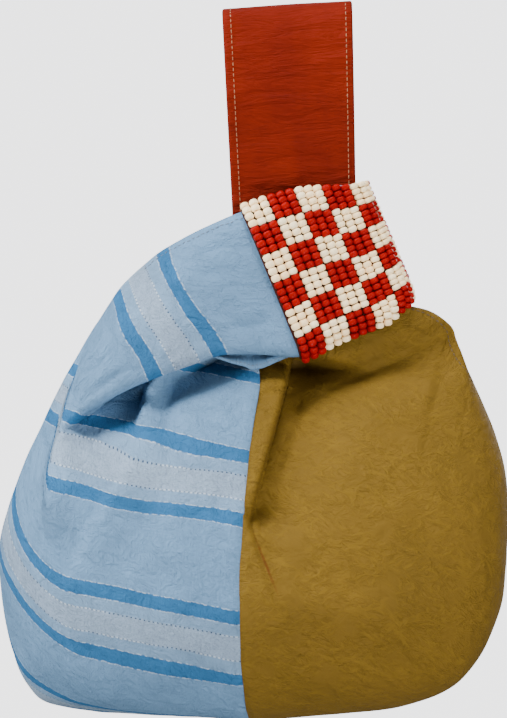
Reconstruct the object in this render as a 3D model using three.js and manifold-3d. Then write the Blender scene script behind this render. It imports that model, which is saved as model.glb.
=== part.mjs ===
// A small knot bag: a stuffed two-colour pouch whose long handle is drawn up through its short one.
// The short handle carries a band of beads where it wraps the long handle.
// Millimetres, +Z up, the front faces -Y. The origin is inside the top of the long handle,
// where a hand or a hook carries the bag.
import * as THREE from "three";
import { mergeVertices } from "three/addons/utils/BufferGeometryUtils.js";
import Module from "manifold-3d";

const wasm = await Module();
wasm.setup();

// Cloth and clearances
const CLOTH = 2.2; // wall of the pouch and the short handle: outer cloth, lining and seam allowance
const STRAP_CLOTH = 2.4; // wall of the long handle, folded and topstitched
const CLEARANCE = 0.4; // space between two pieces that touch
const SEAM_GAP = 0.7; // space between the two panels along the seams
const BAND_GAP = 1; // space between the beads' backing and the cloth below it
const BEAD = 3.8; // thickness of the beaded band, one bead

// Pouch
const BODY_LEFT = 124; // front seam to the left side
const BODY_RIGHT = 130; // front seam to the right side
const BODY_HEIGHT = 175; // lowest point to the neck, where the front seam ends
const BODY_DEPTH = 130; // front to back at the fullest section
const SEAM_OFFSET = 20; // front seam, left of the handle's centre
const FULLNESS = 2.4; // exponent of the pouch's rounded sections, 2 is an ellipse

// Long handle
const STRAP_WIDTH = 63; // at the fold
const STRAP_TAPER = 4; // how much narrower it is at the joint with the right panel
const STRAP_BEND = 12; // inside radius of the fold at the top
const STRAP_PINCH = 6.5; // inside half gap where the knot squeezes the two sides together
const STRAP_LEAN = 4.5; // how far the joint lies to the right of the fold
const STRAP_SLANT = 4.4; // how much higher the fold's right end is than its left end

// Short handle and its knot
const LOOP_DROP = 85.5; // top of the loop below the origin
const LOOP_HEIGHT = 115; // top of the loop to the lowest fold of the handle
const LOOP_ROOM = 3; // space between the long handle and the loop in front and behind
const LOOP_FLARE = 22; // how much further right the loop's lower edge reaches than its upper edge
const NECK_DOWN = 0.817; // height of the pouch's neck, as a share of LOOP_HEIGHT from the loop's top
const JOINT_DOWN = 0.378; // height of the joint between long handle and right panel, likewise
const TIP_LEFT = 0.702; // the handle's left tip, as a share of BODY_LEFT from the seam
const FOLD_FORWARD = 0.6; // how far forward its lower fold stands, as a share of half BODY_DEPTH
const END_ROUNDNESS = 0.75; // length of the loop's right end, as a share of its half depth
const FOLD_ROLL = 4; // radius of the lower fold
const ROLL_TURN = THREE.MathUtils.degToRad(150); // how far the lower fold rolls under

// Mesh density
const BODY_COLUMNS = 16; // faces from a seam to the side
const PLAIN_ROWS = 6; // lowest sections of the pouch with none added between them
const FACE_COLUMNS = 6; // faces across the short handle
const ROLL_COLUMNS = 3; // faces round a rolled edge
const STRAP_COLUMNS = 3;
const STRAP_STEPS = 40;
const BEND_STEPS = 6; // faces round the loop's right end
const BUNCHING = 1.45; // how much closer the right panel's columns stand at the seam, 1 is evenly

// What follows from them: the neck and the joint lie inside the loop, and the loop fits the strap.
const NECK_DROP = LOOP_DROP + LOOP_HEIGHT * NECK_DOWN;
const STRAP_LENGTH = LOOP_DROP + LOOP_HEIGHT * JOINT_DOWN;
const SEAM_X = -SEAM_OFFSET;
const BOTTOM_Z = -NECK_DROP - BODY_HEIGHT;
const HALF_DEPTH = BODY_DEPTH / 2;
const JOINT_Z = -STRAP_LENGTH;
const STRAP_RIGHT = (STRAP_WIDTH - STRAP_TAPER) / 2 + STRAP_LEAN;
const PINCH_MIDDLE = STRAP_PINCH + STRAP_CLOTH / 2;
const LOOP_BEND = STRAP_PINCH + STRAP_CLOTH + LOOP_ROOM + CLOTH / 2; // half the loop, to mid cloth
const LOOP_END = LOOP_BEND * END_ROUNDNESS;
const FOLD_DEPTH = HALF_DEPTH * FOLD_FORWARD;

// Sections of the pouch from the bottom up. up, leftUp and rightUp are shares of BODY_HEIGHT at the
// seam and the two sides. seam and left are shares of BODY_LEFT, right of BODY_RIGHT, deep of the half depth.
const BODY_ROWS = [
  { up: 0.0, seam: 0.008, left: 0.593, leftUp: 0.023, right: 0.358, rightUp: 0.02, deep: 0.0 },
  { up: 0.002, seam: 0.008, left: 0.714, leftUp: 0.036, right: 0.531, rightUp: 0.031, deep: 0.15 },
  { up: 0.014, seam: 0.004, left: 0.81, leftUp: 0.054, right: 0.642, rightUp: 0.05, deep: 0.33 },
  { up: 0.046, seam: -0.004, left: 0.863, leftUp: 0.089, right: 0.746, rightUp: 0.08, deep: 0.53 },
  { up: 0.109, seam: -0.012, left: 0.919, leftUp: 0.16, right: 0.831, rightUp: 0.126, deep: 0.74 },
  { up: 0.194, seam: -0.024, left: 0.96, leftUp: 0.266, right: 0.908, rightUp: 0.206, deep: 0.89 },
  { up: 0.309, seam: -0.028, left: 0.988, leftUp: 0.394, right: 0.969, rightUp: 0.323, deep: 1.0 },
  { up: 0.423, seam: -0.027, left: 0.99, leftUp: 0.494, right: 0.987, rightUp: 0.417, deep: 0.992 },
  { up: 0.537, seam: -0.02, left: 0.956, leftUp: 0.594, right: 0.994, rightUp: 0.523, deep: 0.94 },
  { up: 0.651, seam: -0.008, left: 0.899, leftUp: 0.709, right: 0.992, rightUp: 0.637, deep: 0.85 },
  { up: 0.766, seam: 0.008, left: 0.839, leftUp: 0.803, right: 0.969, rightUp: 0.751, deep: 0.72 },
  { up: 0.866, seam: 0.028, left: 0.774, leftUp: 0.903, right: 0.915, rightUp: 0.866, deep: 0.58 },
  { up: 0.951, seam: 0.048, left: 0.718, leftUp: 0.983, right: 0.865, rightUp: 0.954, deep: 0.44 },
];

// The left panel's last two sections, under the short handle's fold.
const LEFT_TOP_ROWS = [
  { up: 1.0, seam: 0.045, left: 0.661, leftUp: 1.051, deep: 0.34 },
  { up: 1.045, seam: 0.045, left: 0.6, leftUp: 1.12, deep: 0.28 },
];

// The right panel above its side opening, from the last pouch section (0) to the strap (1).
// rise and sideRise are shares of that height at the neck edge and the side edge, edge and side
// shares of the way across, deep of the way back, and slit is a share of the strap's half gap.
const NECK_ROWS = [
  { rise: 0.162, edge: -0.03, sideRise: 0.172, side: 0.073, deep: 0.6, slit: 0.375 },
  { rise: 0.316, edge: -0.05, sideRise: 0.371, side: 0.145, deep: 0.84, slit: 0.7 },
  { rise: 0.436, edge: 0.05, sideRise: 0.491, side: 0.209, deep: 0.92, slit: 0.85 },
  { rise: 0.538, edge: 0.2, sideRise: 0.586, side: 0.364, deep: 0.95, slit: 0.85 },
  { rise: 0.658, edge: 0.4, sideRise: 0.586, side: 0.655, deep: 0.97, slit: 0.85 },
  { rise: 0.812, edge: 0.7, sideRise: 0.759, side: 0.809, deep: 1.0, slit: 0.92 },
  { rise: 1.0, edge: 1.0, sideRise: 1.0, side: 1.0, deep: 1.0, slit: 1.0 },
];

// One side of the long handle from the joint up to the fold: drop is a share of STRAP_LENGTH and
// gap a share of STRAP_BEND.
const STRAP_ROWS = [
  { drop: 1.0, gap: 0.54 },
  { drop: 0.84, gap: 0.54 },
  { drop: 0.68, gap: 0.56 },
  { drop: 0.5, gap: 0.88 },
  { drop: 0.28, gap: 1.14 },
  { drop: 0.12, gap: 1.06 },
];

// Stations of the short handle's front half, from its left tip to the loop's right end. top and low
// are the two edges of the cloth: x is a share of the handle's reach and z of LOOP_HEIGHT, downwards.
// topDeep is a share of LOOP_BEND, lowDeep of FOLD_DEPTH, roll of FOLD_ROLL and turn of ROLL_TURN.
// The first station lies inside the pouch, where the fold begins. Up to SPLIT_STATION the cloth closes
// over the top to the back half, and after it they part.
const HANDLE_STATIONS = [
  { topX: 0.07, topZ: 0.69, topDeep: 0, lowX: 0.035, lowZ: 0.95, lowDeep: 0.2, roll: 0.5, turn: 1 },
  { topX: 0.058, topZ: 0.678, topDeep: 0, lowX: 0.003, lowZ: 0.945, lowDeep: 0.6, roll: 0.8, turn: 1 },
  { topX: 0.094, topZ: 0.596, topDeep: 0, lowX: 0.05, lowZ: 0.96, lowDeep: 0.82, roll: 1, turn: 1 },
  { topX: 0.119, topZ: 0.539, topDeep: 0, lowX: 0.131, lowZ: 0.895, lowDeep: 0.93, roll: 1, turn: 1 },
  { topX: 0.155, topZ: 0.461, topDeep: 0, lowX: 0.241, lowZ: 0.826, lowDeep: 0.98, roll: 1, turn: 1 },
  { topX: 0.22, topZ: 0.374, topDeep: 0, lowX: 0.348, lowZ: 0.77, lowDeep: 1, roll: 1, turn: 1 },
  { topX: 0.284, topZ: 0.304, topDeep: 0, lowX: 0.445, lowZ: 0.726, lowDeep: 0.93, roll: 1, turn: 1 },
  { topX: 0.387, topZ: 0.23, topDeep: 0.72, lowX: 0.564, lowZ: 0.722, lowDeep: 0.76, roll: 0.9, turn: 1 },
  { topX: 0.518, topZ: 0.152, topDeep: 1.2, lowX: 0.677, lowZ: 0.717, lowDeep: 0.58, roll: 1.2, turn: 0.6 },
  { topX: 0.616, topZ: 0.1, topDeep: 1.2, lowX: 0.753, lowZ: 0.665, lowDeep: 0.52, roll: 1.7, turn: 0.42 },
  { topX: 0.707, topZ: 0.061, topDeep: 1.1, lowX: 0.823, lowZ: 0.63, lowDeep: 0.44, roll: 1.8, turn: 0.34 },
];
const LOOP_START = { topZ: 0.035, lowZ: 0.578, roll: 1.8, turn: 0.28 }; // where the right end begins
const LOOP_OUTERMOST = { topZ: 0.026, lowZ: 0.478 };
const SPLIT_STATION = 6;
const BAND_STATION = 8; // where the beads begin

// Folds pressed into the front, each along a line drawn downwards, in shares: x of BODY_LEFT or
// BODY_RIGHT from the seam's line, z of BODY_HEIGHT above the bottom. height is a share of the half
// depth, outwards if positive. The cloth steps within steep to the left of the line and eases within
// soft to the right of it, both shares of BODY_HEIGHT, and fade is the height left at the end.
const LEFT_FOLDS = [
  { fromX: 0.7, fromZ: 0.93, toX: 0.79, toZ: 0.64, height: 0.1, fade: 0.7, steep: 0.045, soft: 0.26 },
  { fromX: 0.79, fromZ: 0.64, toX: 0.72, toZ: 0.38, height: 0.07, fade: 0.0, steep: 0.06, soft: 0.2 },
  { fromX: 0.38, fromZ: 0.97, toX: 0.4, toZ: 0.72, height: 0.07, fade: 0.0, steep: 0.07, soft: 0.07 },
];
const RIGHT_FOLDS = [
  { fromX: 0.175, fromZ: 1.03, toX: 0.04, toZ: 0.59, height: -0.15, fade: 0.4, steep: 0.02, soft: 0.3 },
  { fromX: 0.04, fromZ: 0.59, toX: 0.11, toZ: 0.4, height: -0.06, fade: 0.0, steep: 0.02, soft: 0.12 },
  { fromX: 0.78, fromZ: 1.11, toX: 0.2, toZ: 0.95, height: -0.1, fade: 1.0, steep: 0.05, soft: 0.16 },
];

const COLOURS = {
  blue: { color: 0x8fb4d6, roughness: 0.85, metalness: 0 },
  olive: { color: 0x8a6a22, roughness: 0.75, metalness: 0 },
  rust: { color: 0x9a2c0c, roughness: 0.8, metalness: 0 },
  beads: { color: 0xc8221a, roughness: 0.45, metalness: 0 },
};

const mix = (a, b, t) => a + (b - a) * t;
const smooth = (t) => THREE.MathUtils.smoothstep(t, 0, 1);

// A value of one column of a table at a place between rows, on a curve through the rows.
function columnAt(rows, name, place) {
  const i = Math.min(Math.floor(place), rows.length - 2);
  const t = place - i;
  const at = (k) => rows[Math.max(0, Math.min(rows.length - 1, k))][name];
  const [a, b, c, d] = [at(i - 1), at(i), at(i + 1), at(i + 2)];
  return b + 0.5 * t * (c - a + t * (2 * a - 5 * b + 4 * c - d + t * (3 * (b - c) + d - a)));
}

// Every row of a table, with steps - 1 more between each pair after the first few, kept plain.
function refine(rows, steps, plain = 0) {
  const names = Object.keys(rows[0]);
  const finer = Array.from({ length: (rows.length - 1 - plain) * steps + 1 }, (_, k) => plain + k / steps);
  return [...Array(plain).keys(), ...finer].map((place) =>
    Object.fromEntries(names.map((name) => [name, columnAt(rows, name, place)])),
  );
}

// Shares of a run's length at which its columns stand, closer together near its start if bunched.
const spread = (columns, bunched) =>
  Array.from({ length: columns + 1 }, (_, k) => (k / columns) ** (bunched ? BUNCHING : 1));

// A rounded run of cloth from an edge to a side. Both lie in the plane between front and back, and
// out is the direction in which the depths are measured.
function roundedRun({ edge, side, out, deepEdge, deepSide }, shares) {
  const power = 2 / FULLNESS;
  const fine = shares.length * 4;
  const points = Array.from({ length: fine + 1 }, (_, k) => {
    const angle = (Math.PI / 2) * (k / fine);
    const across = Math.sin(angle) ** power;
    const deep = mix(deepSide, deepEdge, Math.cos(angle) ** power);
    return edge.clone().lerp(side, across).addScaledVector(out, deep);
  });
  const curve = new THREE.CatmullRomCurve3(points, false, "chordal");
  return shares.map((share) => curve.getPointAt(share));
}

// The rolled edge below a run: an arc that turns inwards from the edge, first point left out.
function rolledEdge({ edge, side, out, deepEdge }, radius, turn, columns) {
  const down = edge.clone().sub(side).normalize();
  const start = edge.clone().addScaledVector(out, deepEdge);
  return Array.from({ length: columns }, (_, k) => {
    const angle = (turn * (k + 1)) / columns;
    return start
      .clone()
      .addScaledVector(down, radius * Math.sin(angle))
      .addScaledVector(out, radius * (Math.cos(angle) - 1));
  });
}

const mirrored = (points) => points.map((p) => new THREE.Vector3(p.x, -p.y, p.z));

// A closed solid from grids of points that meet edge to edge. Its faces stand at two distances from
// them, outwards if positive.
function sheetSolid(grids, inner, outer) {
  const corners = [];
  for (const rows of grids)
    for (let i = 0; i + 1 < rows.length; i++)
      for (let j = 0; j + 1 < rows[i].length; j++) {
        const [a, b, c, d] = [rows[i][j], rows[i][j + 1], rows[i + 1][j + 1], rows[i + 1][j]];
        corners.push(a, b, c, a, c, d);
      }
  const soup = new THREE.BufferGeometry().setFromPoints(corners);
  const sheet = mergeVertices(soup, 1e-3);
  sheet.computeVertexNormals();
  const faces = [];
  const index = sheet.index.array;
  for (let i = 0; i < index.length; i += 3) {
    const [a, b, c] = index.slice(i, i + 3);
    if (a !== b && b !== c && c !== a) faces.push([a, b, c]);
  }
  const count = sheet.attributes.position.count;
  const place = new THREE.Vector3();
  const normal = new THREE.Vector3();
  const points = new Float32Array(count * 6);
  for (let i = 0; i < count; i++) {
    place.fromBufferAttribute(sheet.attributes.position, i);
    normal.fromBufferAttribute(sheet.attributes.normal, i);
    place.clone().addScaledVector(normal, outer).toArray(points, i * 3);
    place.clone().addScaledVector(normal, inner).toArray(points, (count + i) * 3);
  }
  const open = new Map();
  for (const face of faces)
    face.forEach((a, k) => {
      const b = face[(k + 1) % 3];
      if (!open.delete(b + "," + a)) open.set(a + "," + b, [a, b]);
    });
  const triangles = faces.flatMap(([a, b, c]) => [a, b, c, count + a, count + c, count + b]);
  for (const [a, b] of open.values())
    triangles.push(a, count + a, count + b, a, count + b, b);
  return new wasm.Manifold(
    new wasm.Mesh({ numProp: 3, vertProperties: points, triVerts: new Uint32Array(triangles) }),
  );
}

const clothSolid = (grids, thickness) => sheetSolid(grids, -thickness / 2, thickness / 2);

function meshOf(name, solid, finish) {
  const { vertProperties, triVerts } = solid.getMesh();
  const geometry = new THREE.BufferGeometry();
  geometry.setAttribute("position", new THREE.BufferAttribute(vertProperties, 3));
  geometry.setIndex(new THREE.BufferAttribute(triVerts, 1));
  geometry.computeVertexNormals();
  const mesh = new THREE.Mesh(geometry, new THREE.MeshStandardMaterial(finish));
  mesh.name = name;
  return mesh;
}

// How far one fold moves a point of the front, outwards.
function foldHeight(fold, width, sideways, x, z) {
  const from = new THREE.Vector2(SEAM_X + sideways * fold.fromX * width, BOTTOM_Z + fold.fromZ * BODY_HEIGHT);
  const to = new THREE.Vector2(SEAM_X + sideways * fold.toX * width, BOTTOM_Z + fold.toZ * BODY_HEIGHT);
  const line = to.clone().sub(from);
  const offset = new THREE.Vector2(x, z).sub(from);
  const along = offset.dot(line) / line.lengthSq();
  const beside = offset.cross(line) / line.length();
  const past = Math.max(0, -along, along - 1) * line.length();
  const steep = fold.steep * BODY_HEIGHT;
  const soft = fold.soft * BODY_HEIGHT;
  const shape = 1 - smooth(Math.abs(beside) / (beside > 0 ? steep : soft));
  const ends = 1 - smooth(past / (4 * steep));
  return fold.height * HALF_DEPTH * mix(1, fold.fade, smooth(along)) * shape * ends;
}

// Presses a panel's folds into the front half of a row of points.
function pressFolds(points, folds, width, sideways) {
  return points.map((p) => {
    const push = folds.reduce((sum, fold) => sum + foldHeight(fold, width, sideways, p.x, p.z), 0);
    return p.clone().add(new THREE.Vector3(0, -push * smooth(-p.y / (HALF_DEPTH / 4)), 0));
  });
}

const FORWARD = new THREE.Vector3(0, -1, 0);

// One half of a pouch section, from the front seam to the side.
function bodyRun(row, width, reach, sideUp, sideways) {
  const seamX = SEAM_X + row.seam * BODY_LEFT + (sideways * SEAM_GAP) / 2;
  return {
    edge: new THREE.Vector3(seamX, 0, BOTTOM_Z + row.up * BODY_HEIGHT),
    side: new THREE.Vector3(SEAM_X + sideways * reach * width, 0, BOTTOM_Z + sideUp * BODY_HEIGHT),
    out: FORWARD,
    deepEdge: row.deep * HALF_DEPTH,
    deepSide: 0,
  };
}

// The front of a row with its folds, and the plain back that mirrors it, from the seam to the side.
function frontAndBack(run, folds, width, sideways) {
  const plain = roundedRun(run, spread(BODY_COLUMNS, sideways > 0));
  return {
    front: pressFolds(plain, folds, width, sideways),
    back: mirrored(plain),
  };
}

// A row from the front seam round the side to the back seam.
const wholeRow = ({ front, back }) => [...front, ...[...back].reverse().slice(1)];

// The left half of the pouch, from the bottom to under the short handle's fold.
function leftBody() {
  const rows = [...BODY_ROWS, ...LEFT_TOP_ROWS].map(({ right, rightUp, ...row }) => row);
  return refine(rows, 2, PLAIN_ROWS).map((row) => {
    const run = bodyRun(row, BODY_LEFT, row.left, row.leftUp, -1);
    return wholeRow(frontAndBack(run, LEFT_FOLDS, BODY_LEFT, -1));
  });
}

// The right half of the pouch up to its side opening as one grid, then the front and back layers
// that narrow to the strap's width.
function rightBody() {
  const rows = refine(BODY_ROWS, 2, PLAIN_ROWS);
  const pouch = rows.map((row) => {
    const run = bodyRun(row, BODY_RIGHT, row.right, row.rightUp, 1);
    return wholeRow(frontAndBack(run, RIGHT_FOLDS, BODY_RIGHT, 1));
  });
  const top = rows.at(-1);
  const last = bodyRun(top, BODY_RIGHT, top.right, top.rightUp, 1);
  const jointZ = JOINT_Z - CLEARANCE;
  const start = { rise: 0, edge: 0, sideRise: 0, side: 0, deep: 0, slit: 0 };
  const neck = refine([start, ...NECK_ROWS], 2).map((row, k) => {
    const edgeX = mix(last.edge.x, STRAP_RIGHT - STRAP_WIDTH + STRAP_TAPER, row.edge);
    const sideX = mix(last.side.x, STRAP_RIGHT, row.side);
    const run = {
      edge: new THREE.Vector3(edgeX, 0, mix(last.edge.z, jointZ, row.rise)),
      side: new THREE.Vector3(sideX, 0, mix(last.side.z, jointZ, row.sideRise)),
      out: FORWARD,
      deepEdge: mix(last.deepEdge, PINCH_MIDDLE, row.deep),
      deepSide: k === 0 ? 0 : row.slit * PINCH_MIDDLE,
    };
    return frontAndBack(run, RIGHT_FOLDS, BODY_RIGHT, 1);
  });
  return [pouch, neck.map(({ front }) => front), neck.map(({ back }) => [...back].reverse())];
}

// The long handle: up from the front joint, over the fold and down to the back joint.
function longHandle() {
  const top = STRAP_CLOTH / 2;
  const bend = STRAP_BEND + STRAP_CLOTH / 2;
  const side = STRAP_ROWS.map(({ drop, gap }) => [gap * STRAP_BEND + STRAP_CLOTH / 2, -drop * STRAP_LENGTH]);
  side.push([bend * Math.SQRT1_2, top - bend * (1 - Math.SQRT1_2)]);
  const path = new THREE.CatmullRomCurve3([
    ...side.map(([y, z]) => new THREE.Vector3(0, -y, z)),
    new THREE.Vector3(0, 0, top),
    ...side.reverse().map(([y, z]) => new THREE.Vector3(0, y, z)),
  ]);
  const rows = path.getSpacedPoints(STRAP_STEPS).map((middle) => {
    const down = Math.max(0, middle.z / JOINT_Z);
    return Array.from({ length: STRAP_COLUMNS + 1 }, (_, j) => {
      const across = j / STRAP_COLUMNS - 0.5;
      return new THREE.Vector3(
        STRAP_LEAN * down + across * (STRAP_WIDTH - STRAP_TAPER * down),
        middle.y,
        middle.z + across * STRAP_SLANT * smooth(1 - down),
      );
    });
  });
  return clothSolid([rows.reverse()], STRAP_CLOTH);
}

// The short handle's stations, worked out from the strap that it wraps and the pouch that it leaves.
function handleRuns() {
  const tipX = SEAM_X - TIP_LEFT * BODY_LEFT;
  const topEndX = STRAP_RIGHT + CLEARANCE + CLOTH / 2;
  const reach = topEndX + LOOP_FLARE - tipX;
  const place = (x, z) => new THREE.Vector3(tipX + x * reach, 0, -LOOP_DROP - z * LOOP_HEIGHT);
  const stations = [
    ...HANDLE_STATIONS,
    {
      ...LOOP_START,
      topX: (topEndX - LOOP_END - tipX) / reach,
      lowX: 1 - LOOP_END / reach,
      topDeep: 1,
      lowDeep: LOOP_BEND / FOLD_DEPTH,
    },
  ];
  const front = refine(stations, 2).map((row, k) => ({
    edge: place(row.lowX, row.lowZ),
    side: place(row.topX, row.topZ),
    out: FORWARD,
    deepEdge: row.lowDeep * FOLD_DEPTH,
    deepSide: k > SPLIT_STATION * 2 ? row.topDeep * LOOP_BEND : 0,
    roll: row.roll * FOLD_ROLL,
    turn: row.turn * ROLL_TURN,
  }));
  const start = front.at(-1);
  const lowest = place(0, LOOP_OUTERMOST.lowZ).z;
  const highest = place(0, LOOP_OUTERMOST.topZ).z;
  const bend = Array.from({ length: BEND_STEPS }, (_, k) => {
    const angle = (Math.PI / 2) * ((k + 1) / BEND_STEPS - 1);
    const [across, back] = [Math.cos(angle), Math.sin(angle)];
    const square = (across ** 4 + back ** 4) ** (-1 / 4);
    return {
      ...start,
      edge: new THREE.Vector3(start.edge.x, 0, mix(start.edge.z, lowest, across)),
      side: new THREE.Vector3(start.side.x, 0, mix(start.side.z, highest, across)),
      out: new THREE.Vector3((across * LOOP_END) / LOOP_BEND, back, 0).multiplyScalar(square),
    };
  });
  return [...front, ...bend];
}

// One row across the short handle: its rolled lower edge, then its face up to the top edge.
function handleRow(run) {
  const roll = rolledEdge(run, run.roll, run.turn, ROLL_COLUMNS);
  return [...roll.reverse(), ...roundedRun(run, spread(FACE_COLUMNS, false))];
}

// Rows all the way round the loop from one station on: the front, the right end and the back.
function loopRows(station) {
  const front = handleRuns().slice(station * 2).map(handleRow);
  return [...front, ...front.slice(0, -1).reverse().map(mirrored)];
}

function leftPanel() {
  const closed = handleRuns()
    .slice(0, SPLIT_STATION * 2 + 1)
    .map(handleRow)
    .map((row) => [...row, ...mirrored(row).reverse().slice(1)]);
  const handle = clothSolid([closed, loopRows(SPLIT_STATION)], CLOTH);
  return clothSolid([leftBody()], CLOTH).add(handle);
}

function beadBand() {
  const inside = CLOTH / 2 + BAND_GAP;
  return sheetSolid([loopRows(BAND_STATION).reverse()], inside, inside + BEAD);
}

const bag = new THREE.Group();
bag.add(
  meshOf("left_panel", leftPanel(), COLOURS.blue),
  meshOf("right_panel", clothSolid(rightBody(), CLOTH), COLOURS.olive),
  meshOf("long_handle", longHandle(), COLOURS.rust),
  meshOf("bead_band", beadBand(), COLOURS.beads),
);

export default bag;
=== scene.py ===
# Looks of a small knot bag: cloth shells with fine folds, woven stripes, stitches and single beads.
# Lengths are millimetres until a mesh is made. The front faces -Y, and the origin is inside the fold
# of the long handle, as in the CAD frame.
import math

import bpy
import numpy as np
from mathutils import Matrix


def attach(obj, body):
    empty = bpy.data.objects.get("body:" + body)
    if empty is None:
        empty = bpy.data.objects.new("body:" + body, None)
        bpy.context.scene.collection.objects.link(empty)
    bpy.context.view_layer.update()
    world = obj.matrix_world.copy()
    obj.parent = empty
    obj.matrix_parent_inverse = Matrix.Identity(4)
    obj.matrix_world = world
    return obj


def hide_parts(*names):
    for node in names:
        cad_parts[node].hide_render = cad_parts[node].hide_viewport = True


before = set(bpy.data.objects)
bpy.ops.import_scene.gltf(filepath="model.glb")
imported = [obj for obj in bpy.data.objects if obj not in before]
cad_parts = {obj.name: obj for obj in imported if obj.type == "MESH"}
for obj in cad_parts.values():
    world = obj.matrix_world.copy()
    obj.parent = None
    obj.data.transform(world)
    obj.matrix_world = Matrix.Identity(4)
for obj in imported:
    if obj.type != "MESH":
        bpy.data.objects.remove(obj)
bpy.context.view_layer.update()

MM = 0.001

# Sizes repeated from the CAD
CLOTH = 2.2
STRAP_CLOTH = 2.4
CLEARANCE = 0.4
SEAM_GAP = 0.7
BAND_GAP = 1.0
BEAD = 3.8
BODY_LEFT = 124
BODY_RIGHT = 130
BODY_HEIGHT = 175
BODY_DEPTH = 130
SEAM_OFFSET = 20
FULLNESS = 2.4
STRAP_WIDTH = 63
STRAP_TAPER = 4
STRAP_BEND = 12
STRAP_PINCH = 6.5
STRAP_LEAN = 4.5
STRAP_SLANT = 4.4
LOOP_DROP = 85.5
LOOP_HEIGHT = 115
LOOP_ROOM = 3
LOOP_FLARE = 22
NECK_DOWN = 0.817
JOINT_DOWN = 0.378
TIP_LEFT = 0.702
FOLD_FORWARD = 0.6
END_ROUNDNESS = 0.75
FOLD_ROLL = 4
ROLL_TURN = math.radians(150)

HALF_CLOTH = CLOTH / 2
NECK_DROP = LOOP_DROP + LOOP_HEIGHT * NECK_DOWN
STRAP_LENGTH = LOOP_DROP + LOOP_HEIGHT * JOINT_DOWN
SEAM_X = -SEAM_OFFSET
BOTTOM_Z = -NECK_DROP - BODY_HEIGHT
HALF_DEPTH = BODY_DEPTH / 2
JOINT_Z = -STRAP_LENGTH
STRAP_RIGHT = (STRAP_WIDTH - STRAP_TAPER) / 2 + STRAP_LEAN
PINCH_MIDDLE = STRAP_PINCH + STRAP_CLOTH / 2
LOOP_BEND = STRAP_PINCH + STRAP_CLOTH + LOOP_ROOM + CLOTH / 2
LOOP_END = LOOP_BEND * END_ROUNDNESS
FOLD_DEPTH = HALF_DEPTH * FOLD_FORWARD

# How fine the cloth is: steps between two rows of a table, and columns across it
ROW_STEPS = 9
BODY_COLUMNS = 124
BUNCHING = 1.3  # how much closer the right panel's columns stand at the seam, 1 is evenly
FACE_COLUMNS = 56
ROLL_COLUMNS = 12
END_STEPS = 26
STRAP_STEPS = 150
STRAP_COLUMNS = 30

# Sections of the pouch from the bottom up, in shares: up, seam, left, leftUp, right, rightUp, deep
BODY_ROWS = np.array([
    (0.0, 0.008, 0.593, 0.023, 0.358, 0.02, 0.0),
    (0.002, 0.008, 0.714, 0.036, 0.531, 0.031, 0.15),
    (0.014, 0.004, 0.81, 0.054, 0.642, 0.05, 0.33),
    (0.046, -0.004, 0.863, 0.089, 0.746, 0.08, 0.53),
    (0.109, -0.012, 0.919, 0.16, 0.831, 0.126, 0.74),
    (0.194, -0.024, 0.96, 0.266, 0.908, 0.206, 0.89),
    (0.309, -0.028, 0.988, 0.394, 0.969, 0.323, 1.0),
    (0.423, -0.027, 0.99, 0.494, 0.987, 0.417, 0.992),
    (0.537, -0.02, 0.956, 0.594, 0.994, 0.523, 0.94),
    (0.651, -0.008, 0.899, 0.709, 0.992, 0.637, 0.85),
    (0.766, 0.008, 0.839, 0.803, 0.969, 0.751, 0.72),
    (0.866, 0.028, 0.774, 0.903, 0.915, 0.866, 0.58),
    (0.951, 0.048, 0.718, 0.983, 0.865, 0.954, 0.44),
])
# The left panel under the short handle's fold: up, seam, left, leftUp, deep
LEFT_TOP_ROWS = np.array([
    (1.0, 0.045, 0.661, 1.051, 0.34),
    (1.045, 0.045, 0.6, 1.12, 0.28),
])
# The right panel above its side opening: rise, edge, sideRise, side, deep, slit
NECK_ROWS = np.array([
    (0.0, 0.0, 0.0, 0.0, 0.0, 0.0),
    (0.162, -0.03, 0.172, 0.073, 0.6, 0.375),
    (0.316, -0.05, 0.371, 0.145, 0.84, 0.7),
    (0.436, 0.05, 0.493, 0.195, 0.92, 0.85),
    (0.538, 0.2, 0.612, 0.364, 0.95, 0.85),
    (0.658, 0.4, 0.68, 0.655, 0.97, 0.85),
    (0.812, 0.7, 0.759, 0.809, 1.0, 0.92),
    (1.0, 1.0, 1.0, 1.0, 1.0, 1.0),
])
# One side of the long handle from the joint to the fold: drop, gap
STRAP_ROWS = np.array([
    (1.0, 0.54),
    (0.84, 0.54),
    (0.68, 0.56),
    (0.5, 0.88),
    (0.28, 1.14),
    (0.12, 1.06),
])
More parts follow.
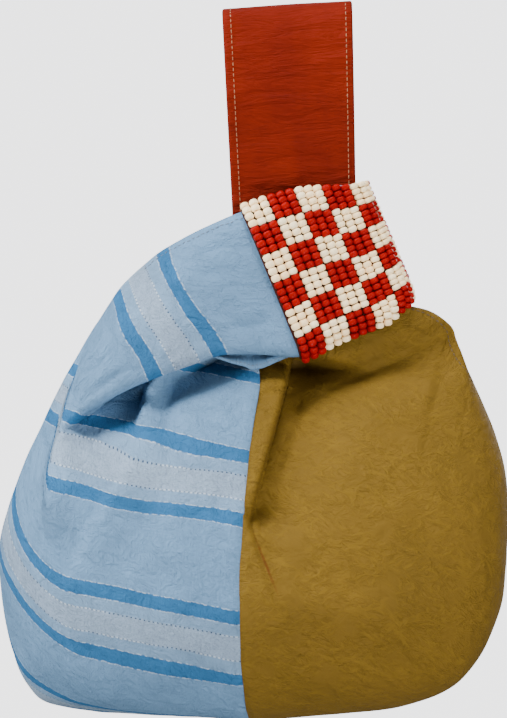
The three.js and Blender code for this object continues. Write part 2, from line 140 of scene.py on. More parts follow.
# Stations of the short handle: topX, topZ, topDeep, lowX, lowZ, lowDeep, roll, turn.
# The last one is where the loop's right end begins.
TIP_X = SEAM_X - TIP_LEFT * BODY_LEFT
TOP_END_X = STRAP_RIGHT + CLEARANCE + CLOTH / 2
REACH = TOP_END_X + LOOP_FLARE - TIP_X
HANDLE_STATIONS = np.array([
    (0.07, 0.69, 0, 0.035, 0.95, 0.2, 0.5, 1),
    (0.058, 0.678, 0, 0.003, 0.945, 0.6, 0.8, 1),
    (0.094, 0.596, 0, 0.05, 0.96, 0.82, 1, 1),
    (0.119, 0.539, 0, 0.131, 0.895, 0.93, 1, 1),
    (0.155, 0.461, 0, 0.241, 0.826, 0.98, 1, 1),
    (0.22, 0.374, 0, 0.348, 0.77, 1, 1, 1),
    (0.284, 0.304, 0, 0.445, 0.726, 0.93, 1, 1),
    (0.387, 0.23, 0.72, 0.564, 0.722, 0.76, 0.9, 1),
    (0.518, 0.152, 1.2, 0.677, 0.717, 0.58, 1.2, 0.6),
    (0.616, 0.1, 1.2, 0.753, 0.665, 0.52, 1.7, 0.42),
    (0.707, 0.061, 1.1, 0.823, 0.63, 0.44, 1.8, 0.34),
    (
        (TOP_END_X - LOOP_END - TIP_X) / REACH, 0.035, 1,
        1 - LOOP_END / REACH, 0.578, LOOP_BEND / FOLD_DEPTH, 1.8, 0.28,
    ),
])
END_LOW_Z = 0.478
END_TOP_Z = 0.026
SPLIT_STATION = 6
BAND_STATION = 8

# Folds of the front: fromX, fromZ, toX, toZ, height, fade, steep, soft, as in the CAD, then finer ones
LEFT_FOLDS = [
    (0.7, 0.93, 0.79, 0.64, 0.1, 0.7, 0.045, 0.26),
    (0.79, 0.64, 0.72, 0.38, 0.07, 0.0, 0.06, 0.2),
    (0.38, 0.97, 0.4, 0.72, 0.07, 0.0, 0.07, 0.07),
    (0.71, 0.93, 0.8, 0.64, 0.04, 0.7, 0.012, 0.1),
    (0.8, 0.64, 0.74, 0.45, 0.028, 0.0, 0.02, 0.1),
    (0.455, 0.96, 0.65, 0.86, -0.36, 0.8, 0.02, 0.19),
    (0.397, 0.93, 0.437, 0.79, 0.34, 0.0, 0.012, 0.08),
    (0.12, 1.02, 0.32, 0.945, -0.26, 0.9, 0.04, 0.08),
    (0.4, 0.9, 0.26, 0.62, -0.03, 0.0, 0.03, 0.09),
    (0.66, 0.74, 0.52, 0.5, -0.04, 0.3, 0.05, 0.06),
    (0.46, 0.73, 0.66, 0.45, 0.06, 0.6, 0.04, 0.12),
    (0.77, 0.5, 0.66, 0.35, -0.03, 0.2, 0.02, 0.09),
    (0.12, 0.62, 0.4, 0.5, -0.012, 0.2, 0.03, 0.08),
]
RIGHT_FOLDS = [
    (0.176, 1.03, 0.02, 0.59, -0.15, 0.4, 0.008, 0.3),
    (0.04, 0.59, 0.11, 0.4, -0.06, 0.0, 0.02, 0.12),
    (0.78, 1.11, 0.2, 0.95, -0.1, 1.0, 0.05, 0.16),
    (0.174, 1.03, 0.016, 0.59, -0.1, 0.7, 0.008, 0.12),
    (0.176, 1.02, 0.012, 0.57, -0.12, 0.25, 0.01, 0.26),
    (0.2, 1.0, 0.36, 0.98, -0.2, 0.3, 0.06, 0.06),
    (0.74, 1.07, 0.24, 0.9, -0.07, 0.5, 0.03, 0.14),
    (0.0, 0.585, 0.09, 0.375, -0.06, 0.3, 0.008, 0.07),
    (0.773, 1.09, 0.685, 0.79, -0.06, 0.3, 0.03, 0.1),
    (0.2, 0.36, 0.6, 0.26, 0.02, 0.2, 0.08, 0.1),
]


def mix(a, b, t):
    return a + (b - a) * t


def smooth(t):
    t = np.clip(t, 0.0, 1.0)
    return t * t * (3 - 2 * t)


def hashed(ix, iy, seed):
    """A repeatable number from 0 to 1 for each whole point of a plane."""
    mixed = np.sin(ix * 127.1 + iy * 311.7 + seed * 74.7) * 43758.5453
    return mixed - np.floor(mixed)


def value_noise(x, y, seed):
    """Smooth noise from -1 to 1 with a period of about one unit."""
    ix, iy = np.floor(x), np.floor(y)
    tx, ty = smooth(x - ix), smooth(y - iy)
    low = mix(hashed(ix, iy, seed), hashed(ix + 1, iy, seed), tx)
    high = mix(hashed(ix, iy + 1, seed), hashed(ix + 1, iy + 1, seed), tx)
    return 2 * mix(low, high, ty) - 1


def table_at(rows, place):
    """The values of a table at a place between its rows, on a curve through them."""
    last = len(rows) - 1
    i = int(min(math.floor(place), last - 1))
    t = place - i
    a, b, c, d = (rows[min(max(k, 0), last)] for k in (i - 1, i, i + 1, i + 2))
    return b + 0.5 * t * (c - a + t * (2 * a - 5 * b + 4 * c - d + t * (3 * (b - c) + d - a)))


def places(rows, steps=ROW_STEPS):
    """Places along a table, with the same number of steps between every two rows."""
    return np.linspace(0, len(rows) - 1, (len(rows) - 1) * steps + 1)


def lengths(points):
    """Distance along a line of points from its first one."""
    steps = np.linalg.norm(np.diff(points, axis=0), axis=1)
    return np.concatenate([[0.0], np.cumsum(steps)])


def read_off(values, run, distances):
    """Rows of values at the given distances, for values that stand at the distances of a run."""
    return np.stack([np.interp(distances, run, values[:, k]) for k in range(3)], axis=1)


def along(points, distances):
    """Points at the given distances along a line of points."""
    return read_off(points, lengths(points), distances)


def unit(vectors):
    """Vectors brought to length one."""
    return vectors / np.maximum(np.linalg.norm(vectors, axis=-1, keepdims=True), 1e-9)


def evenly(points, count):
    """Evenly spaced points along a line of points."""
    points = np.array(points, dtype=float)
    return along(points, np.linspace(0, lengths(points)[-1], count))


def climbed(grid):
    """Distance of each point of a grid from its first row, up its own column."""
    steps = np.linalg.norm(np.diff(grid, axis=0), axis=2)
    return np.concatenate([np.zeros((1, grid.shape[1])), np.cumsum(steps, axis=0)])


def point(x, y, z):
    return np.array([x, y, z], dtype=float)


FORWARD = point(0, -1, 0)


def rounded_run(edge, side, out, deep_edge, deep_side, shares):
    """A rounded run of cloth from an edge to a side, as in the CAD."""
    power = 2 / FULLNESS
    angle = np.linspace(0, math.pi / 2, 361)
    across = np.sin(angle) ** power
    deep = mix(deep_side, deep_edge, np.clip(np.cos(angle), 0, 1) ** power)
    line = edge + (side - edge) * across[:, None] + out * deep[:, None]
    return along(line, shares * lengths(line)[-1])


def mirrored(points):
    return points * point(1, -1, 1)


def fold_height(fold, width, sideways, x, z):
    """How far one fold moves points of the front, outwards."""
    from_x, from_z, to_x, to_z, height, fade, steep, soft = fold
    start = np.array([SEAM_X + sideways * from_x * width, BOTTOM_Z + from_z * BODY_HEIGHT])
    line = np.array([SEAM_X + sideways * to_x * width, BOTTOM_Z + to_z * BODY_HEIGHT]) - start
    length = np.linalg.norm(line)
    dx, dz = x - start[0], z - start[1]
    share = (dx * line[0] + dz * line[1]) / length**2
    beside = (dx * line[1] - dz * line[0]) / length
    past = np.maximum(0, np.maximum(-share, share - 1)) * length
    reach = np.where(beside > 0, steep, soft) * BODY_HEIGHT
    shape = 1 - smooth(np.abs(beside) / reach)
    ends = 1 - smooth(past / (4 * steep * BODY_HEIGHT))
    return height * HALF_DEPTH * mix(1, fade, smooth(share)) * shape * ends


def press_folds(points, folds, width, sideways):
    push = sum(fold_height(fold, width, sideways, points[:, 0], points[:, 2]) for fold in folds)
    moved = points.copy()
    moved[:, 1] -= push * smooth(-points[:, 1] / (HALF_DEPTH / 4))
    return moved


def body_run(up, seam, reach, side_up, deep, width, sideways):
    """One half of a pouch section, from the front seam to the side."""
    return dict(
        edge=point(SEAM_X + seam * BODY_LEFT + sideways * SEAM_GAP / 2, 0, BOTTOM_Z + up * BODY_HEIGHT),
        side=point(SEAM_X + sideways * reach * width, 0, BOTTOM_Z + side_up * BODY_HEIGHT),
        out=FORWARD,
        deep_edge=deep * HALF_DEPTH,
        deep_side=0,
    )


def body_shares(sideways):
    """Shares of a pouch row at which its columns stand."""
    return np.linspace(0, 1, BODY_COLUMNS + 1) ** (BUNCHING if sideways > 0 else 1)


def pouch_rows(rows, folds, width, sideways):
    """Grids of a pouch half: the folded front with the plain back, and the plain front alone."""
    shares = body_shares(sideways)
    whole, plain = [], []
    for place in places(rows):
        up, seam, reach, side_up, deep = table_at(rows, place)
        run = rounded_run(**body_run(up, seam, reach, side_up, deep, width, sideways), shares=shares)
        plain.append(run)
        front = press_folds(run, folds, width, sideways)
        whole.append(np.concatenate([front, mirrored(run)[::-1][1:]]))
    return np.array(whole), np.array(plain)


def both_sides(values):
    """Values of a front run repeated on the mirrored back."""
    return np.concatenate([values, values[:, ::-1][:, 1:]], axis=1)


def added(name, data):
    """A new object in the scene."""
    made = bpy.data.objects.new(name, data)
    bpy.context.scene.collection.objects.link(made)
    return made


# Pieces of cloth

def welded(grids):
    """Points, values and faces of grids that meet edge to edge. A grid is (points, values)."""
    flat_points = np.concatenate([points.reshape(-1, 3) for points, _ in grids])
    flat_values = np.concatenate([values.reshape(-1, values.shape[-1]) for _, values in grids])
    keys = np.round(flat_points, 3) + 0.0
    _, first, same = np.unique(keys, axis=0, return_index=True, return_inverse=True)
    same = same.reshape(-1)
    faces, start = [], 0
    for points, _ in grids:
        rows, columns = points.shape[:2]
        index = same[start:start + rows * columns].reshape(rows, columns)
        quads = np.stack([index[:-1, :-1], index[:-1, 1:], index[1:, 1:], index[1:, :-1]], axis=-1)
        faces.append(quads.reshape(-1, 4))
        start += rows * columns
    return flat_points[first], flat_values[first], np.concatenate(faces)


def vertex_normals(points, faces):
    a, b, c, d = (points[faces[:, k]] for k in range(4))
    face_normals = np.cross(c - a, d - b)
    normals = np.zeros_like(points)
    for k in range(4):
        np.add.at(normals, faces[:, k], face_normals)
    return unit(normals)


def open_edges(faces):
    """The directed edges that only one face has."""
    pairs = np.concatenate([faces[:, [k, (k + 1) % 4]] for k in range(4)])
    pairs = pairs[pairs[:, 0] != pairs[:, 1]]
    size = int(faces.max()) + 1
    forward = pairs[:, 0] * size + pairs[:, 1]
    backward = pairs[:, 1] * size + pairs[:, 0]
    return pairs[~np.isin(forward, backward)]


def mesh_object(name, points, faces, values=None, finishes=(), finish_of=None):
    """A smooth mesh object from points in millimetres. Values go to the attribute "cloth"."""
    mesh = bpy.data.meshes.new(name)
    clean = [tuple(dict.fromkeys(face)) for face in faces.tolist()]
    kept = [k for k, face in enumerate(clean) if len(face) > 2]
    mesh.from_pydata((points * MM).tolist(), [], [clean[k] for k in kept])
    mesh.polygons.foreach_set("use_smooth", np.ones(len(kept), dtype=bool))
    if values is not None:
        attribute = mesh.attributes.new("cloth", "FLOAT_VECTOR", "POINT")
        attribute.data.foreach_set("vector", values.astype(np.float32).ravel())
    for finish in finishes:
        mesh.materials.append(finish)
    if finish_of is not None:
        mesh.polygons.foreach_set("material_index", np.asarray(finish_of)[kept].astype(np.int32))
    mesh.update()
    return added(name, mesh)


def shell(name, grids, inner, outer, finishes, move=None, flip=False):
    """A closed cloth piece with a rounded rim. move gives how far points go along their normals."""
    points, values, faces = welded(grids)
    if flip:
        faces = faces[:, ::-1]
    normals = vertex_normals(points, faces)
    if move is not None:
        points = points + normals * move(points, values)[:, None]
        normals = vertex_normals(points, faces)
    rim = open_edges(faces)
    count = len(points)
    beside = np.zeros_like(points)
    outward = np.cross(points[rim[:, 1]] - points[rim[:, 0]], normals[rim[:, 0]] + normals[rim[:, 1]])
    np.add.at(beside, rim[:, 0], outward)
    np.add.at(beside, rim[:, 1], outward)
    edge = np.unique(rim)
    beside = unit(beside[edge])
    half, middle = (outer - inner) / 2, (outer + inner) / 2
    layers = [points + normals * outer, points + normals * inner]
    for angle in np.radians([50, 0, -50]):
        lift = middle + half * math.sin(angle)
        layers.append(points[edge] + normals[edge] * lift + beside * half * 0.8 * math.cos(angle))
    place = np.zeros(count, dtype=int)
    place[edge] = np.arange(len(edge))
    steps = [rim] + [2 * count + k * len(edge) + place[rim] for k in range(3)] + [rim + count]
    sides = [
        np.stack([a[:, 1], a[:, 0], b[:, 0], b[:, 1]], axis=1) for a, b in zip(steps, steps[1:])
    ]
    all_faces = np.concatenate([faces, faces[:, ::-1] + count] + sides)
    finish_of = np.zeros(len(all_faces), dtype=int)
    if len(finishes) > 1:
        finish_of[len(faces):2 * len(faces)] = 1
    all_values = np.concatenate([values, values] + [values[edge]] * 3)
    return mesh_object(name, np.concatenate(layers), all_faces, all_values, finishes, finish_of)


# Materials

def srgb(red, green, blue):
    """A colour given as 0 to 255 per channel, as Blender's linear values."""
    shares = [channel / 255 for channel in (red, green, blue)]
    return tuple(s / 12.92 if s <= 0.04045 else ((s + 0.055) / 1.055) ** 2.4 for s in shares) + (1.0,)


class Shader:
    """A material made of nodes, with short calls for the ones used most."""

    def __init__(self, name, roughness, **settings):
        self.material = bpy.data.materials.new(name)
        self.material.use_nodes = True
        self.tree = self.material.node_tree
        self.surface = self.tree.nodes["Principled BSDF"]
        self.surface.inputs["Roughness"].default_value = roughness
        for key, value in settings.items():
            self.surface.inputs[key.replace("_", " ")].default_value = value

    def join(self, socket, value):
        if isinstance(value, bpy.types.NodeSocket):
            self.tree.links.new(value, socket)
        else:
            socket.default_value = value

    def node(self, kind, inputs, **settings):
        made = self.tree.nodes.new("ShaderNode" + kind)
        for key, value in settings.items():
            setattr(made, key, value)
        for key, value in inputs.items():
            self.join(made.inputs[key], value)
        return made

    def worked(self, kind, operation, values):
        return self.node(kind, dict(enumerate(values)), operation=operation).outputs[0]

    def maths(self, operation, *values):
        return self.worked("Math", operation, values)

    def times(self, first, second):
        return self.maths("MULTIPLY", first, second)

    def scaled(self, value, factor, more):
        """The value times a factor, and some more."""
        return self.maths("MULTIPLY_ADD", value, factor, more)

    def on_cloth(self):
        """Takes up the attribute "cloth": the place on the woven cloth in millimetres."""
        self.cloth = self.node("Attribute", {}, attribute_name="cloth").outputs["Vector"]
        self.across, self.up, _ = self.node("SeparateXYZ", {0: self.cloth}).outputs
        return self

    def position(self, scale=(1000, 1000, 1000)):
        """The place in space in millimetres."""
        place = self.node("NewGeometry", {}).outputs["Position"]
        return self.worked("VectorMath", "MULTIPLY", (place, scale))

    def noise(self, place, stretch, detail=2.0, roughness=0.5, distortion=0.0):
        """Noise from about 0.2 to 0.8 over a place in millimetres, at stretch waves a millimetre."""
        inputs = {"Scale": 1.0, "Detail": detail, "Roughness": roughness, "Distortion": distortion}
        inputs["Vector"] = self.worked("VectorMath", "MULTIPLY", (place, stretch))
        return self.node("TexNoise", inputs).outputs["Fac"]

    def woven(self, across, up, *rest):
        """Noise over the cloth, at so many waves a millimetre across it and up it."""
        return self.noise(self.cloth, (across, up, 0.0), *rest)

    def between(self, value, low, high):
        """From 0 at low to 1 at high, smoothly. Low may be the larger one."""
        inputs = {"Value": value, "From Min": low, "From Max": high}
        return self.node("MapRange", inputs, interpolation_type="SMOOTHSTEP").outputs[0]

    def thin_lines(self, noise):
        """1 on thin lines where a noise crosses its middle, and 0 away from them."""
        away = self.maths("ABSOLUTE", self.maths("SUBTRACT", noise, 0.5))
        return self.between(away, 0.05, 0.0)

    def blend(self, share, first, second, kind="MIX"):
        inputs = {0: share, 6: first, 7: second}
        return self.node("Mix", inputs, data_type="RGBA", blend_type=kind).outputs[2]

    def ramp(self, value, stops):
        made = self.node("ValToRGB", {0: value})
        elements = made.color_ramp.elements
        while len(elements) < len(stops):
            elements.new(0.5)
        for element, (place, colour) in zip(elements, stops):
            element.position = place
            element.color = colour
        return made.outputs[0]

    def tinted(self, colour, value, amount):
        """A colour made darker and lighter by a value about 0.5, at most by the amount."""
        shade = self.scaled(self.maths("SUBTRACT", value, 0.5), 2 * amount, 1.0)
        grey = self.node("CombineColor", {0: shade, 1: shade, 2: shade})
        return self.blend(1.0, colour, grey.outputs[0], "MULTIPLY")

    def weave(self, pitch):
        """Height of a plain weave with the given thread pitch."""
        ways = (self.across, self.up)
        waves = [self.maths("SINE", self.times(way, math.pi / pitch)) for way in ways]
        return self.maths("ABSOLUTE", self.times(*waves))

    def finish(self, colour, heights=()):
        """Sets the colour, and a bump from (value, depth in millimetres) pairs."""
        self.join(self.surface.inputs["Base Color"], colour)
        normal = None
        for value, depth in heights:
            bump = self.node("Bump", {"Strength": 1.0, "Distance": depth * MM, "Height": value})
            if normal is not None:
                self.join(bump.inputs["Normal"], normal)
            normal = bump.outputs[0]
        if normal is not None:
            self.join(self.surface.inputs["Normal"], normal)
        return self.material


# Stripes of the blue cloth: distances from the middle of a silver stripe
STRIPE_REPEAT = 81
SILVER_HALF = 6.5
STRIPE_FROM = 12.5
STRIPE_TO = 19.8
STRIPE_BLUR = 0.35
DOT_PITCH = 2.2
PLAIN_BLUE = srgb(96, 130, 162)
GAP_BLUE = srgb(109, 138, 166)
STRIPE_BLUE = srgb(42, 94, 137)
SILVER = srgb(132, 151, 172)
SILVER_DARK = srgb(112, 132, 154)
DOT_SHADOW = srgb(50, 72, 98)
DOT_LIGHT = srgb(214, 222, 230)


def stripe_colour(shader, folded):
    """Silver, gap, dark and plain stripes by the distance from the middle of a silver one."""
    half, blur = STRIPE_REPEAT / 2, STRIPE_BLUR
    stops = [(0.0, SILVER)]
    edges = ((SILVER_HALF, SILVER, GAP_BLUE), (STRIPE_FROM, GAP_BLUE, STRIPE_BLUE),
             (STRIPE_TO, STRIPE_BLUE, PLAIN_BLUE))
    for edge, before, after in edges:
        stops += [((edge - blur) / half, before), ((edge + blur) / half, after)]
    colour = shader.ramp(shader.maths("DIVIDE", folded, half), stops + [(1.0, PLAIN_BLUE)])
    silver = shader.between(folded, SILVER_HALF, SILVER_HALF - 0.6)
    speckle = shader.woven(0.9, 1.3, 3.0, 0.7)
    return shader.blend(shader.times(silver, shader.between(speckle, 0.45, 0.7)), colour, SILVER_DARK)


def dotted(shader, colour, folded):
    """Rows of light dots along the edges of the silver stripes, alternating with dark spots of painted
    shadow.
    """
    turn = shader.maths("SINE", shader.times(shader.across, 2 * math.pi / DOT_PITCH))
    row = shader.maths("COMPARE", folded, SILVER_HALF - 0.4, 0.36)
    patchy = shader.between(shader.woven(0.045, 0.045, 1.0), 0.46, 0.54)
    # The dark spots are painted shadow beside each raised light dot.
    dark = shader.times(row, shader.between(turn, 0.2, 0.7))
    colour = shader.blend(shader.times(dark, shader.scaled(patchy, -0.6, 1.0)), colour, DOT_SHADOW)
    light = shader.times(shader.between(turn, 0.3, -0.3), shader.times(row, patchy))
    return shader.blend(shader.times(light, 0.35), colour, DOT_LIGHT)


def fringed(shader, colour, folded):
    """Ragged light edges of the dark stripes."""
    for edge in (STRIPE_FROM, STRIPE_TO):
        fringe = shader.maths("COMPARE", folded, edge, 0.3)
        ragged = shader.between(shader.woven(0.5, 0.1, 2.0), 0.35, 0.6)
        colour = shader.blend(shader.times(fringe, shader.times(ragged, 0.35)), colour, DOT_LIGHT)
    return colour


def striped_cloth(name):
    shader = Shader(name, 0.8, Specular_IOR_Level=0.12).on_cloth()
    wobble = shader.woven(0.33, 0.02, 3.0, 0.6)
    slow = shader.woven(0.03, 0.01, 1.0)
    moved = shader.scaled(wobble, 1.6, shader.maths("ADD", shader.up, -0.8))
    moved = shader.scaled(slow, 2.0, shader.maths("ADD", moved, -1.0))
    half = STRIPE_REPEAT / 2
    folded = shader.maths("ABSOLUTE", shader.maths("WRAP", moved, half, -half))
    colour = stripe_colour(shader, folded)
    colour = dotted(shader, colour, folded)
    colour = fringed(shader, colour, folded)
    warp = shader.woven(1.6, 0.07, 3.0, 0.6)
    weft = shader.woven(0.07, 1.6, 3.0, 0.6)
    colour = shader.tinted(colour, shader.scaled(warp, 0.5, shader.times(weft, 0.5)), 0.26)
    mottle = shader.woven(0.035, 0.035, 3.0, 0.6)
    colour = shader.tinted(colour, mottle, 0.28)
    creases = shader.thin_lines(shader.woven(0.2, 0.2, 1.5, 0.5, 1.6))
    # The crease lines are also painted a little lighter: a painted highlight along their ridges. Below they
    # are bumped as well.
    colour = shader.tinted(colour, shader.scaled(creases, 0.5, 0.45), 0.09)
    rumple = shader.woven(0.1, 0.1, 4.0, 0.6, 0.9)
    return shader.finish(colour, [(rumple, 2.7), (creases, 0.22), (shader.weave(0.55), 0.06)])


# The thin stain on the olive cloth, seen from the front
STAIN_PLACE = (-10.5, 0, -276)
STAIN_SIZE = (1.0, 1, 20)
STAIN_TURN = math.radians(-22)
CREASE_TURNS = (40, -35, 8)


def crossed_creases(shader):
    """Fine creases that cross at a few angles, in patches."""
    creases = None
    for turn in CREASE_TURNS:
        inputs = {"Vector": shader.cloth, "Angle": math.radians(turn)}
        turned = shader.node("VectorRotate", inputs, rotation_type="Z_AXIS")
        found = shader.thin_lines(shader.noise(turned.outputs[0], (0.07, 0.3, 0.0), 1.5, 0.5, 0.9))
        creases = found if creases is None else shader.maths("MAXIMUM", creases, found)
    return shader.times(creases, shader.between(shader.woven(0.06, 0.06, 2.0), 0.3, 0.5))


def stain(shader):
    """1 in the thin slanting stain, and 0 away from it."""
    inputs = {"Location": STAIN_PLACE, "Rotation": (0, STAIN_TURN, 0), "Scale": STAIN_SIZE}
    inputs["Vector"] = shader.position((1000, 0, 1000))
    mapped = shader.node("Mapping", inputs, vector_type="TEXTURE")
    away = shader.node("VectorMath", {0: mapped.outputs[0]}, operation="LENGTH")
    blot = shader.scaled(shader.woven(0.5, 0.5, 3.0), 0.8, away.outputs["Value"])
    return shader.between(blot, 1.4, 0.5)


def olive_cloth(name):
    shader = Shader(name, 0.7, Specular_IOR_Level=0.08).on_cloth()
    mottle = shader.woven(0.03, 0.03, 4.0, 0.6)
    colour = shader.blend(shader.between(mottle, 0.3, 0.7), srgb(98, 75, 24), srgb(106, 81, 27))
    colour = shader.tinted(colour, shader.woven(0.5, 0.5, 4.0, 0.7), 0.06)
    creases = crossed_creases(shader)
    # The crease lines are also painted a lighter olive: a painted highlight along their ridges.
    colour = shader.blend(shader.times(creases, 0.12), colour, srgb(136, 108, 16))
    colour = shader.blend(shader.times(stain(shader), 0.55), colour, srgb(84, 18, 2))
    rumple = shader.woven(0.08, 0.08, 3.0, 0.5, 0.9)
    return shader.finish(colour, [(rumple, 2.2), (creases, 0.24), (shader.weave(0.6), 0.05)])


def rust_cloth(name):
    shader = Shader(name, 0.8, Specular_IOR_Level=0.06).on_cloth()
    mottle = shader.woven(0.04, 0.015, 3.0, 0.6)
    colour = shader.blend(shader.between(mottle, 0.3, 0.7), srgb(100, 21, 9), srgb(112, 26, 10))
    colour = shader.tinted(colour, shader.woven(0.05, 1.2, 3.0, 0.7), 0.22)
    rumple = shader.woven(0.03, 0.14, 4.0, 0.65, 0.6)
    return shader.finish(colour, [(rumple, 3.4), (shader.weave(0.6), 0.06)])


def plain_cloth(name, colour):
    """A plain woven cloth for linings and backings."""
    shader = Shader(name, 0.85, Specular_IOR_Level=0.15).on_cloth()
    tone = shader.tinted(colour, shader.woven(0.3, 0.3, 3.0), 0.1)
    return shader.finish(tone, [(shader.weave(0.7), 0.06)])


def thread_finish(name, colour):
    shader = Shader(name, 0.6, Sheen_Weight=0.2)
    fibres = shader.noise(shader.position(), (3.0, 3.0, 3.0), 3.0)
    return shader.finish(shader.tinted(colour, fibres, 0.3), [(fibres, 0.08)])


def bead_finish(name, colour, other):
    """Opaque glass whose tone differs from bead to bead."""
    shader = Shader(name, 0.32, Specular_IOR_Level=0.06).on_cloth()
    clouds = shader.noise(shader.position(), (0.7, 0.7, 0.7), 3.0)
    mixed = shader.blend(shader.across, colour, other)
    return shader.finish(shader.tinted(mixed, clouds, 0.1), [(clouds, 0.05)])


BLUE = striped_cloth("blue_striped_cotton")
OLIVE = olive_cloth("olive_creased_cotton")
RUST = rust_cloth("rust_cotton")
BLUE_LINING = plain_cloth("blue_cloth_inside", srgb(110, 135, 160))
OLIVE_LINING = plain_cloth("olive_cloth_inside", srgb(92, 70, 28))
# The backing's dark warm brown is partly its own colour and partly painted shade of the gaps between the
# beads.
BACKING = plain_cloth("bead_backing_cloth", srgb(56, 22, 14))
TAN_THREAD = thread_finish("tan_thread", srgb(150, 100, 56))
GREY_THREAD = thread_finish("grey_blue_thread", srgb(84, 98, 116))
OLIVE_THREAD = thread_finish("olive_thread", srgb(66, 48, 14))
RED_GLASS = bead_finish("red_bead_glass", srgb(132, 0, 0), srgb(150, 0, 0))
CREAM_GLASS = bead_finish("cream_bead_glass", srgb(254, 220, 168), srgb(255, 236, 194))


# The pouch

STRIPE_LEVEL = -310  # height of the seam point that the stripes are measured from
STRIPE_AT_LEVEL = -73.5
STRIPE_CLIMB = 0.19
SIDE_CLIMB = 42
SIDE_TOP_CLIMB = 33
SIDE_TURN = 0.08  # share of a row in which the stripes turn level before the side
SEAM_DIP = (0.8, 1.8)  # depth and width of the dip along the seam
LEFT_RUMPLE = (3, 0.5)  # seed and height
RIGHT_RUMPLE = (7, 0.5)
SIDE_HEM = 3.2
SIDE_HEM_LAST = 5  # row of the neck's table where the stitches of the side end
HEM_PITCH = 2.6


def stripe_height(plain):
    """Woven height of the left panel's cloth in millimetres, 0 at the middle of a silver stripe."""
    up = climbed(plain)
    known = int(np.argmin(np.abs(plain[:, 0, 2] - STRIPE_LEVEL)))
    height = up - up[known] + plain[known, :, 2] - STRIPE_LEVEL + STRIPE_AT_LEVEL
    across = np.array([lengths(row) for row in plain])
    share = across / across[:, -1:]
    level = across - across[:, -1:] * np.maximum(0, share - 1 + SIDE_TURN) ** 2 / (2 * SIDE_TURN)
    gentle = SIDE_CLIMB * smooth((share - 0.55) / 0.5) - 3 * smooth((-height - 80) / 20)
    upper = smooth((height - 8) / 22)
    flat = 5 * smooth(share / 0.5) * upper - 3 * np.exp(-(((share - 0.4) / 0.25) ** 2)) * (1 - upper)
    ridge = 0.72 + 0.0025 * height  # where the ridge of the left fold hides some of the cloth
    before = smooth((height + 35) / 30) * (1 - smooth((share - ridge) / 0.015 + 0.5))
    beyond = mix(gentle, SIDE_TOP_CLIMB, smooth((height - 2) / 20))
    climb = mix(beyond, flat, before) - 4 * smooth((height - 40) / 16)
    return height - STRIPE_CLIMB * level - climb, across


def seam_dip(across):
    depth, width = SEAM_DIP
    return -depth * np.exp(-((across / width) ** 2))


def cloth_values(across, up):
    return np.stack([across, up, np.zeros_like(across)], axis=-1)


def rumpled(points, seed, amount):
    """Soft unevenness of stuffed cloth."""
    x, z, y = points[:, 0], points[:, 2], points[:, 1]
    large = value_noise(x / 34 + (y > 0) * 9, z / 26, seed)
    small = value_noise(x / 13 + (y > 0) * 9, z / 11, seed + 1)
    return amount * (large + 0.45 * small)


def pouch_left():
    rows = np.concatenate([BODY_ROWS[:, [0, 1, 2, 3, 6]], LEFT_TOP_ROWS])
    whole, plain = pouch_rows(rows, LEFT_FOLDS, BODY_LEFT, -1)
    up, across = stripe_height(plain)
    grid = (whole, cloth_values(both_sides(across), both_sides(up)))

    def move(points, values):
        return rumpled(points, *LEFT_RUMPLE) + seam_dip(values[:, 0])

    return shell("pouch_left", [grid], -HALF_CLOTH, HALF_CLOTH, [BLUE, BLUE_LINING], move, flip=True)


def neck_run(place, last, shares):
    """A run of the right panel's front at a place between the side opening and the strap."""
    rise, edge, side_rise, side, deep, slit = table_at(NECK_ROWS, place)
    joint_z = JOINT_Z - CLEARANCE
    return rounded_run(
        edge=point(
            mix(last["edge"][0], STRAP_RIGHT - STRAP_WIDTH + STRAP_TAPER, edge), 0,
            mix(last["edge"][2], joint_z, rise),
        ),
        side=point(
            mix(last["side"][0], STRAP_RIGHT, side), 0, mix(last["side"][2], joint_z, side_rise)
        ),
        out=FORWARD,
        deep_edge=mix(last["deep_edge"], PINCH_MIDDLE, deep),
        deep_side=0 if place == 0 else slit * PINCH_MIDDLE,
        shares=shares,
    )


def pouch_right():
    rows = BODY_ROWS[:, [0, 1, 4, 5, 6]]
    whole, plain = pouch_rows(rows, RIGHT_FOLDS, BODY_RIGHT, 1)
    across = np.array([lengths(row) for row in plain])
    up = climbed(plain)
    last = body_run(*rows[-1], BODY_RIGHT, 1)
    runs = [neck_run(place, last, body_shares(1)) for place in places(NECK_ROWS)]
    front = np.array([press_folds(run, RIGHT_FOLDS, BODY_RIGHT, 1) for run in runs])
    back = np.array([mirrored(run)[::-1] for run in runs])
    neck_across = np.array([lengths(run) for run in runs])
    neck_up = up[-1] + climbed(front)
    grids = [
        (whole, cloth_values(both_sides(across), both_sides(up))),
        (front, cloth_values(neck_across, neck_up)),
        (back, cloth_values(neck_across[:, ::-1], neck_up[:, ::-1])),
    ]

    def move(points, values):
        return rumpled(points, *RIGHT_RUMPLE) + seam_dip(values[:, 0])

    side = shell("pouch_right", grids, -HALF_CLOTH, HALF_CLOTH, [OLIVE, OLIVE_LINING], move)
    return side, side_hem_stitches(front)


def edge_stitches(name, line, outs, rumple, finish):
    """Topstitching along a line of the cloth in front, and along its mirror image behind."""
    outs = np.where(outs[:, 1:2] > 0, -outs, outs)
    made = []
    for end, side in (("_front", 1), ("_back", -1)):
        flip = point(1, side, 1)
        raised = line * flip + outs * flip * rumpled(line * flip, *rumple)[:, None]
        made.append(stitches(name + end, raised, outs * flip, HEM_PITCH, finish, CLOTH / 2 + 0.12))
    return made


def side_hem_stitches(front):
    """Topstitching along the right panel's side opening."""
    rows = front[:SIDE_HEM_LAST * ROW_STEPS + 1]
    line = np.array([along(row[::-1], [SIDE_HEM])[0] for row in rows])
    outs = grid_normals(rows)[:, -6]
    return edge_stitches("side_hem_stitches", line, outs, RIGHT_RUMPLE, OLIVE_THREAD)


# The short handle

